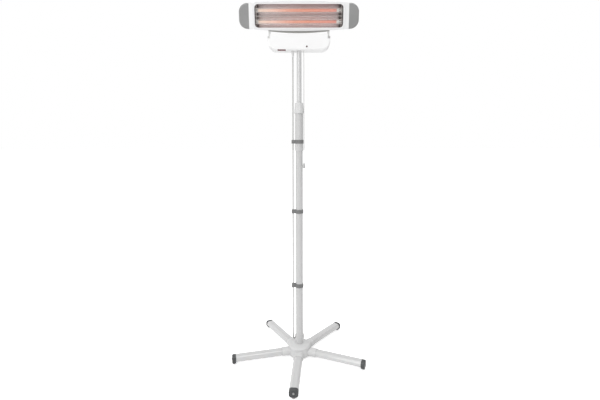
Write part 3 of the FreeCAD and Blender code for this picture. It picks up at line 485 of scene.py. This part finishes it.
# The route's points are in millimetres: down beside the pole, back behind it, into the hank
# on the floor, and out to the plug. Each turn of the hank climbs a little over a diameter.
FEED = [(-28, 0, 1366.5), (-28, 0, 966.3)]
LOWER_ROUTE = [
    (-28, 0, 331), (-28, 0, 273), (-28.6, 12.5, 216), (-29.4, 38, 150), (-29.9, 69, 86),
    (-29.9, 95, 34), (-28.6, 120, 6.5), (-23, 137, 3.0),
]
TAIL_ROUTE = [
    (-17, 137, 21.6), (-14, 149, 23.4), (-9, 168, 24), (-4, 184, 19), (-0.5, 199, 14),
    (0, 212, 12),
]
HANK_FAR, HANK_NEAR = 141, 87
HANK_WAIST = [(18.6, 135), (12.6, 125), (9.6, 114), (12.6, 103), (18.6, 93)]
FOLD_RADIUS = 20
FOLD_TURNS = (162, 126, 90, 54, 18)
HANK_TURNS = 3
CLIMB = 6.1


def fold(middle, turns):
    """The hank's fold: points round a half circle."""
    return [
        (FOLD_RADIUS * math.cos(turn), middle + FOLD_RADIUS * math.sin(turn))
        for turn in map(math.radians, turns)
    ]


def hank_turn(number):
    """One turn: round the far end, back through the tie, round the near end and up again."""
    plan = [
        *fold(HANK_FAR, FOLD_TURNS), *HANK_WAIST,
        *fold(HANK_NEAR, [-turn for turn in reversed(FOLD_TURNS)]),
        *((-x, y) for x, y in reversed(HANK_WAIST)),
    ]
    count = len(plan)
    return [
        (x, y, CABLE_RADIUS / MM + CLIMB * (number + k / count)) for k, (x, y) in enumerate(plan)
    ]


hank = [point for number in range(HANK_TURNS) for point in hank_turn(number)]
cable_route = [*FEED, *LOWER_ROUTE, *hank[:-1], *TAIL_ROUTE]
cable_line = smooth_line([Vector(point) * MM for point in cable_route])
bm = bmesh.new()
tube_mesh(bm, cable_line, CABLE_RADIUS, 16)
mains_cable = mesh_object("mains_cable", bm, "cable")
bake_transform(mains_cable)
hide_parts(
    "mains_cable_upper", "mains_cable_lower", "mains_cable_tail", "cable_hank"
)

# --- cable tie: a flat band round the hank's waist ---

TIE_Y = (HANK_FAR + HANK_NEAR) / 2 * MM
TIE_HALF, TIE_LOW, TIE_HIGH = 13.8 * MM, 1.2 * MM, 24.1 * MM
TIE_CORNER, TIE_WIDTH, TIE_THICKNESS = 6 * MM, 10 * MM, 1.2 * MM


def strap(name, outline, middle_y, width, thickness, finish):
    """A flat band that follows a closed outline of (x, z) points, across the Y axis."""
    bm = bmesh.new()
    count = len(outline)
    middle = Vector((sum(p[0] for p in outline), sum(p[1] for p in outline))) / count
    rings = []
    for k, point in enumerate(outline):
        before, after = Vector(outline[k - 1]), Vector(outline[(k + 1) % count])
        run = (after - before).normalized()
        outward = Vector((run.y, -run.x))
        if outward.dot(Vector(point) - middle) < 0:
            outward = -outward
        ring = []
        for out, across in ((0, -1), (1, -1), (1, 1), (0, 1)):
            flat = Vector(point) + outward * thickness * out
            ring.append(bm.verts.new((flat.x, middle_y + across * width / 2, flat.y)))
        rings.append(ring)
    obj = loop_of_rings(name, bm, rings, finish)
    soften = obj.modifiers.new("edges", "BEVEL")
    soften.width = thickness * 0.35
    soften.segments = 2
    soften.limit_method = "ANGLE"
    soften.angle_limit = math.radians(50)
    return obj


def rounded_loop(half, low, high, radius, steps=6):
    """A rounded rectangle about X = 0 between two heights."""
    loop = []
    corners = (
        (half - radius, low + radius, -90), (half - radius, high - radius, 0),
        (-half + radius, high - radius, 90), (-half + radius, low + radius, 180),
    )
    for x, z, start in corners:
        for k in range(steps + 1):
            turn = math.radians(start + 90 * k / steps)
            loop.append((x + radius * math.cos(turn), z + radius * math.sin(turn)))
    return loop


tie = strap(
    "cable_tie", rounded_loop(TIE_HALF, TIE_LOW, TIE_HIGH, TIE_CORNER), TIE_Y, TIE_WIDTH,
    TIE_THICKNESS, "tie",
)
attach(tie, "stand")
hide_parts("hank_tie")

# --- strain relief: a ribbed taper ---


def lathe(name, profile, centre, finish, sides=48):
    """A turned piece from (radius, height) points, about a vertical line."""
    bm = bmesh.new()
    rings = []
    for radius, height in profile:
        rings.append([
            bm.verts.new((
                centre[0] + radius * math.cos(2 * math.pi * k / sides),
                centre[1] + radius * math.sin(2 * math.pi * k / sides),
                height,
            ))
            for k in range(sides)
        ])
    return loop_of_rings(name, bm, rings, finish, sharp=35)


RIBS = 7
RIB_RISE = 0.5 * MM
RIB_SHAPE = ((0.02, 0), (0.12, 1), (0.50, 1), (0.62, 0), (0.98, 0))
RELIEF_SMALL, RELIEF_WIDER = 3.7 * MM, 2.3 * MM
FLANGE_RADIUS, FLANGE_DEPTH = 8 * MM, 2 * MM

low, high = box("cable_relief")
flange_low = BOX_UNDERSIDE - FLANGE_DEPTH
profile = [(CABLE_RADIUS, low.z)]
for n in range(RIBS):
    for share, raised in RIB_SHAPE:
        up = (n + share) / RIBS
        outer = RELIEF_SMALL + RELIEF_WIDER * up + RIB_RISE * raised
        profile.append((outer, low.z + (flange_low - low.z) * up))
profile += [
    (FLANGE_RADIUS, flange_low), (FLANGE_RADIUS, BOX_UNDERSIDE - 0.3 * MM),
    (FLANGE_RADIUS - 0.4 * MM, BOX_UNDERSIDE), (CABLE_RADIUS, BOX_UNDERSIDE),
]
relief = lathe("strain_relief", profile, (CABLE_X, 0), "relief")
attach(relief, "mast")
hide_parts("cable_relief")

# --- pull cord: three strands laid together, down to its grip ---

CORD_AT = (21.5 * MM, -22 * MM)
CORD_RADIUS = 1.1 * MM
CORD_TOP, CORD_EXIT, CORD_FOOT = 1380 * MM, 1364.5 * MM, 863.8 * MM
CORD_ROWS, CORD_SIDES = 640, 12
STRANDS, STRAND_RISE, STRAND_LAY = 3, 0.09, 1.3 * MM
STRAND_REACH = CORD_RADIUS * 0.93

bm = bmesh.new()
rings = []
for n in range(CORD_ROWS + 1):
    height = CORD_TOP + (CORD_FOOT - CORD_TOP) * n / CORD_ROWS
    ring = []
    for k in range(CORD_SIDES):
        turn = -2 * math.pi * k / CORD_SIDES
        lobe = 1 + STRAND_RISE * math.cos(STRANDS * turn - height / STRAND_LAY)
        reach = STRAND_REACH * lobe
        ring.append(bm.verts.new((
            CORD_AT[0] + reach * math.cos(turn), CORD_AT[1] + reach * math.sin(turn), height
        )))
    rings.append(ring)
line_of_rings(bm, rings)
pull_cord = mesh_object("pull_cord_laid", bm, "cord")
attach(pull_cord, "pull")
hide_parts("pull_cord")

# --- return spring of the pull switch: wound wire, made at rest; pulling the cord would shorten it ---

SPRING_WIRE = 0.45 * MM
WINDINGS, FLAT_WINDINGS, WINDING_STEPS = 7, 0.9, 20

low, high = box("switch_spring")
spring_radius = (high.x - low.x) / 2 - SPRING_WIRE
foot, top = low.z + SPRING_WIRE, high.z - SPRING_WIRE
line = []
for n in range(WINDINGS * WINDING_STEPS + 1):
    wound = n / WINDING_STEPS
    turn = 2 * math.pi * wound
    rise = min(1.0, max(0.0, (wound - FLAT_WINDINGS) / (WINDINGS - 2 * FLAT_WINDINGS)))
    line.append(Vector((
        CORD_AT[0] + spring_radius * math.cos(turn),
        CORD_AT[1] + spring_radius * math.sin(turn),
        foot + (top - foot) * rise,
    )))
bm = bmesh.new()
tube_mesh(bm, line, SPRING_WIRE, 8)
spring = mesh_object("return_spring", bm, "steel")
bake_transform(spring)
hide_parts("switch_spring")

# --- heating coils ---

TILT_AT = Vector((0, 0, 1427 * MM))
TILT_ANGLE = math.radians(15)
TILT = (
    Matrix.Translation(TILT_AT) @ Matrix.Rotation(TILT_ANGLE, 4, "X")
    @ Matrix.Translation(-TILT_AT)
)
HEAD_MIDDLE = 1521 * MM
TUBE_Y, TUBE_RISE = 12 * MM, 25 * MM
COIL_LEFT, COIL_RIGHT = -178 * MM, 165 * MM
COIL_RADIUS, COIL_WIRE = 3.55 * MM, 0.45 * MM
COIL_PITCH, COIL_STEPS = 2.6 * MM, 14

coil_turns = (COIL_RIGHT - COIL_LEFT) / COIL_PITCH
steps = int(coil_turns * COIL_STEPS)
bm = bmesh.new()
for rise in (TUBE_RISE, -TUBE_RISE):
    line = []
    for n in range(steps + 1):
        turn = 2 * math.pi * coil_turns * n / steps
        line.append(TILT @ Vector((
            COIL_LEFT + (COIL_RIGHT - COIL_LEFT) * n / steps,
            TUBE_Y + COIL_RADIUS * math.cos(turn),
            HEAD_MIDDLE + rise + COIL_RADIUS * math.sin(turn),
        )))
    tube_mesh(bm, line, COIL_WIRE, 6)
coils = mesh_object("heating_wire", bm, "glow")
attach(coils, "head")
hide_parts("heating_coils")

# --- twist-lock collar: the CAD form with grip flutes round its wide part ---

FLUTES, FLUTE_SIDES = 18, 8
FLUTE_DEPTH, FLUTE_FADE = 0.9 * MM, 3 * MM
FLUTE_FOOT, FLUTE_HEAD = 4 * MM, 10 * MM
OUTLINE_STEP = 1.5 * MM


def fluted(name, profile, span, finish):
    """A turned piece whose outside has shallow flutes between two heights."""
    bm = bmesh.new()
    sides = FLUTES * FLUTE_SIDES
    low, high = span
    rings = []
    for radius, height, is_outside in profile:
        fade = 0.0
        if is_outside and low < height < high:
            fade = min(1.0, (height - low) / FLUTE_FADE, (high - height) / FLUTE_FADE)
        ring = []
        for k in range(sides):
            turn = 2 * math.pi * k / sides
            reach = radius - FLUTE_DEPTH * fade * (0.5 - 0.5 * math.cos(FLUTES * turn)) ** 2
            ring.append(bm.verts.new((reach * math.cos(turn), reach * math.sin(turn), height)))
        rings.append(ring)
    return loop_of_rings(name, bm, rings, finish, sharp=40)


def between(points, step):
    """The outline's points with more of them along its long straight runs."""
    filled = [points[0]]
    for (r0, h0), (r1, h1) in zip(points, points[1:]):
        count = max(1, round(abs(h1 - h0) / step))
        filled += [
            (r0 + (r1 - r0) * n / count, h0 + (h1 - h0) * n / count) for n in range(1, count + 1)
        ]
    return filled


# The collar's outline: (radius, height) pairs up its outside, then down its bores.
low, high = box("clamp_collar")
outside = between([
    (0.0210, low.z), (0.0217, low.z + 0.0010), (0.0217, low.z + 0.007), (0.0188, high.z - 0.012),
    (0.0180, high.z - 0.0015), (0.0176, high.z - 0.0004), (0.0170, high.z),
], OUTLINE_STEP)
inside = [
    (0.0115, high.z), (0.0115, high.z - 0.0035), (0.0130, high.z - 0.0046),
    (0.0173, low.z + 0.0235), (0.0173, low.z),
]
profile = [(r, h, True) for r, h in outside] + [(r, h, False) for r, h in inside]
collar = fluted(
    "twist_collar", profile, (low.z + FLUTE_FOOT, high.z - FLUTE_HEAD), "collar"
)
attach(collar, "collar")
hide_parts("clamp_collar")

# --- a plain coloured bar round the switch box's lower front edge ---

EDGE_RADIUS = 5 * MM
EDGE_Y, EDGE_Z = -30 * MM, BOX_UNDERSIDE + EDGE_RADIUS
BAR_LEFT, BAR_RIGHT = -95 * MM, -59 * MM
BAR_START, BAR_STEP, BAR_STEPS = 50, 5, 8
BAR_PROUD = 0.3 * MM
UNDER_STEP, UNDER_STEPS = 2.5 * MM, 8

# Its rings go round the edge in steps of degrees, then straight back under the box.
bm = bmesh.new()
rings = []
for n in range(BAR_STEPS + UNDER_STEPS + 1):
    turn = math.radians(BAR_START + BAR_STEP * min(n, BAR_STEPS))
    back = UNDER_STEP * max(0, n - BAR_STEPS)
    rings.append([
        bm.verts.new((
            x, EDGE_Y + back - reach * math.cos(turn), EDGE_Z - reach * math.sin(turn)
        ))
        for x, reach in (
            (BAR_LEFT, EDGE_RADIUS - BAR_PROUD), (BAR_LEFT, EDGE_RADIUS + BAR_PROUD),
            (BAR_RIGHT, EDGE_RADIUS + BAR_PROUD), (BAR_RIGHT, EDGE_RADIUS - BAR_PROUD),
        )
    ])
line_of_rings(bm, rings)
bmesh.ops.recalc_face_normals(bm, faces=bm.faces)
bar = mesh_object("plain_bar", bm, "mark", smooth=False)
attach(bar, "mast")

# --- floor, light and camera ---

FLOOR_SIZE, FLOOR_DROP = 30, 0.5 * MM

bm = bmesh.new()
bmesh.ops.create_grid(bm, x_segments=1, y_segments=1, size=FLOOR_SIZE)
floor_mesh = bpy.data.meshes.new("floor")
bm.to_mesh(floor_mesh)
bm.free()
floor = bpy.data.objects.new("floor", floor_mesh)
bpy.context.scene.collection.objects.link(floor)
floor.location.z = -FLOOR_DROP
paint = Nodes("pale_floor")
paint.link(
    paint.ramp(paint.noise(0.7), [(0.3, (0.90, 0.90, 0.90)), (0.7, (0.92, 0.92, 0.92))]),
    paint.shader.inputs["Base Color"],
)
# The floor looks evenly white without lighting the heater much from below.
ray = paint.add("ShaderNodeLightPath")
lift = paint.spread(ray.outputs["Is Camera Ray"], 0.10, 0.60, 0.0, 1.0)
paint.link(lift, paint.shader.inputs["Emission Strength"])
paint.set(Roughness=0.9, Emission_Color=(1.0, 1.0, 1.0, 1.0))
floor_mesh.materials.append(paint.material)

# The studio's walls light the heater more from the left, and look white behind it.
world = bpy.data.worlds.new("studio")
bpy.context.scene.world = world
world.use_nodes = True
sky = world.node_tree
backdrop = sky.nodes["Background"]
backdrop.inputs["Color"].default_value = (1.0, 1.0, 1.0, 1.0)
soft_light = sky.nodes.new("ShaderNodeBackground")
direction = sky.nodes.new("ShaderNodeTexCoord")
split = sky.nodes.new("ShaderNodeSeparateXYZ")
across = sky.nodes.new("ShaderNodeMapRange")
across.inputs["From Min"].default_value = -0.6
across.inputs["From Max"].default_value = 0.9
across.inputs["To Min"].default_value = 1.10
across.inputs["To Max"].default_value = 0.50
seen = sky.nodes.new("ShaderNodeLightPath")
either = sky.nodes.new("ShaderNodeMixShader")
sky.links.new(direction.outputs["Generated"], split.inputs["Vector"])
sky.links.new(split.outputs["X"], across.inputs["Value"])
sky.links.new(across.outputs["Result"], soft_light.inputs["Strength"])
sky.links.new(seen.outputs["Is Camera Ray"], either.inputs["Fac"])
sky.links.new(soft_light.outputs["Background"], either.inputs[1])
sky.links.new(backdrop.outputs["Background"], either.inputs[2])
sky.links.new(either.outputs["Shader"], sky.nodes["World Output"].inputs["Surface"])
bpy.context.scene.view_settings.view_transform = "Standard"


def panel_light(name, place, target, size, power):
    light = bpy.data.lights.new(name, "AREA")
    light.shape = "RECTANGLE"
    light.size, light.size_y = size
    light.energy = power
    obj = bpy.data.objects.new(name, light)
    bpy.context.scene.collection.objects.link(obj)
    obj.location = place
    obj.rotation_mode = "QUATERNION"
    obj.rotation_quaternion = (Vector(target) - Vector(place)).to_track_quat("-Z", "Y")
    return obj


panel_light("key", (-1.5, -2.9, 2.6), (0, 0, 0.9), (1.2, 2.4), 31)
panel_light("overhead", (0.3, -0.2, 3.4), (0, 0, 0), (2.4, 2.0), 35)

camera_data = bpy.data.cameras.new("camera")
camera_data.sensor_width = 36
camera_data.lens = 22.92
camera_data.shift_y = -0.1032
camera_data.clip_start = 0.05
camera_data.clip_end = 100
camera = bpy.data.objects.new("camera", camera_data)
bpy.context.scene.collection.objects.link(camera)
camera.location = (0.0038, -1.7245, 0.9748)
camera.rotation_euler = (math.radians(90), math.radians(0.1), 0)
bpy.context.scene.camera = camera
